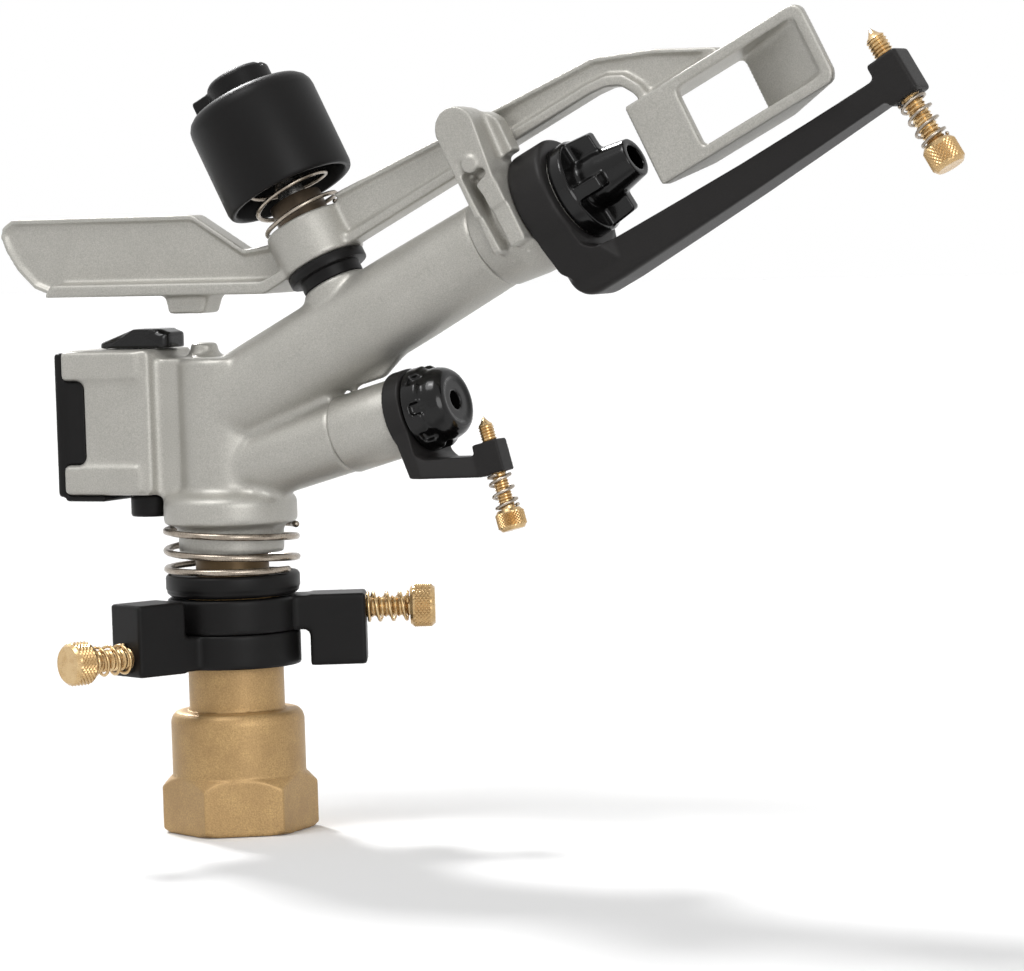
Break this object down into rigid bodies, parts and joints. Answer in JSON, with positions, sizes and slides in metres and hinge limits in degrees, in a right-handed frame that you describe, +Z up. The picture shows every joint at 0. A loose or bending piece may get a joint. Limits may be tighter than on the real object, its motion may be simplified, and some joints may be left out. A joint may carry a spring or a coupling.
{
  "type": "impulse sprinkler",
  "caption": "Metal impulse sprinkler with a slanted main barrel, sprung drive arm, side nozzle, jet breaker screws, arc stop collars and a threaded inlet.",
  "frame": {"origin": "centre of the inlet's mouth, on the axis that the head turns on", "axes": "+Z up along the turning axis, +X level and towards the main jet"},
  "size_m": [0.2977, 0.0868, 0.2228],
  "materials": {
    "brass": "fine sand-textured, matte",
    "bright_brass": "turned and knurled, shiny",
    "cast_aluminium": "fine-grained casting, satin",
    "black_plastic": "matte moulded",
    "black_coat": "matte coat on a casting",
    "spring_steel": "drawn wire",
    "steel": "turned",
    "bronze_bush": "sintered, dull",
    "seal": "smooth rubber"
  },
  "bodies": {
    "base": {"inlet_coupling": "brass", "thrust_washer": "black_plastic", "thrust_seal": "seal", "spring_seat_washer": "black_plastic"},
    "head": {"bearing_tube": "brass", "body_spring": "spring_steel", "body_casting": "cast_aluminium", "stream_straightener": "black_plastic", "barrel_head": "cast_aluminium", "main_nozzle": "black_plastic", "main_breaker_bracket": "black_coat", "main_breaker_spring": "spring_steel", "side_nozzle_holder": "cast_aluminium", "side_nozzle": "black_plastic", "side_breaker_bracket": "black_coat", "side_breaker_spring": "spring_steel", "pivot_pin": "steel", "pivot_thrust_bush": "black_plastic", "arm_spring": "spring_steel", "reverser_cover": "black_plastic", "toggle_spring": "spring_steel"},
    "arm": {"drive_arm": "cast_aluminium", "arm_bush": "bronze_bush"},
    "tension_cap": {"spring_cap": "black_plastic", "knob_washer": "steel", "tension_knob": "black_plastic"},
    "reverser": {"reverser_spindle": "steel", "reverser_cam": "black_plastic", "trip_lever": "black_plastic"},
    "main_breaker_screw": {"main_breaker_screw": "bright_brass"},
    "side_breaker_screw": {"side_breaker_screw": "bright_brass"},
    "upper_stop": {"upper_stop_collar": "black_plastic", "upper_stop_spring": "spring_steel"},
    "lower_stop": {"lower_stop_collar": "black_plastic", "lower_stop_spring": "spring_steel"},
    "upper_stop_screw": {"upper_stop_screw": "bright_brass"},
    "lower_stop_screw": {"lower_stop_screw": "bright_brass"}
  },
  "joints": [
    {"name": "head_turn", "type": "hinge", "parent": "base", "child": "head", "pos_m": [0, 0, 0], "axis": [0, 0, 1], "range_deg": [-72, 90]},
    {"name": "upper_stop_turn", "type": "hinge", "parent": "base", "child": "upper_stop", "pos_m": [0, 0, 0], "axis": [0, 0, 1], "range_deg": [-45, 0]},
    {"name": "lower_stop_turn", "type": "hinge", "parent": "base", "child": "lower_stop", "pos_m": [0, 0, 0], "axis": [0, 0, 1], "range_deg": [0, 45]},
    {"name": "upper_stop_screw_turn", "type": "hinge", "parent": "upper_stop", "child": "upper_stop_screw", "pos_m": [0, 0, 0.0614], "axis": [0.8788, 0.4772, 0], "continuous": true},
    {"name": "lower_stop_screw_turn", "type": "hinge", "parent": "lower_stop", "child": "lower_stop_screw", "pos_m": [0, 0, 0.0512], "axis": [-0.3827, -0.9239, 0], "continuous": true},
    {"name": "arm_swing", "type": "hinge", "parent": "head", "child": "arm", "pos_m": [0.04277, 0, 0.14009], "axis": [-0.454, 0, 0.891], "range_deg": [0, 75], "stiffness_Nm_per_rad": 0.12, "springref_deg": -68.75, "deforming": ["arm_spring"]},
    {"name": "tension_cap_turn", "type": "hinge", "parent": "head", "child": "tension_cap", "pos_m": [0.04277, 0, 0.14009], "axis": [-0.454, 0, 0.891], "range_deg": [-60, 60], "deforming": ["arm_spring"]},
    {"name": "reverser_switch", "type": "hinge", "parent": "head", "child": "reverser", "pos_m": [-0.0256, 0, 0.1], "axis": [0, 0, 1], "range_deg": [0, 25], "deforming": ["toggle_spring"]},
    {"name": "main_breaker_travel", "type": "slide", "parent": "head", "child": "main_breaker_screw", "axis": [-0.518, 0, 0.8554], "range_m": [-0.005, 0.005], "deforming": ["main_breaker_spring"]},
    {"name": "side_breaker_travel", "type": "slide", "parent": "head", "child": "side_breaker_screw", "axis": [-0.2656, 0, 0.9641], "range_m": [-0.004, 0.003], "deforming": ["side_breaker_spring"]}
  ]
}
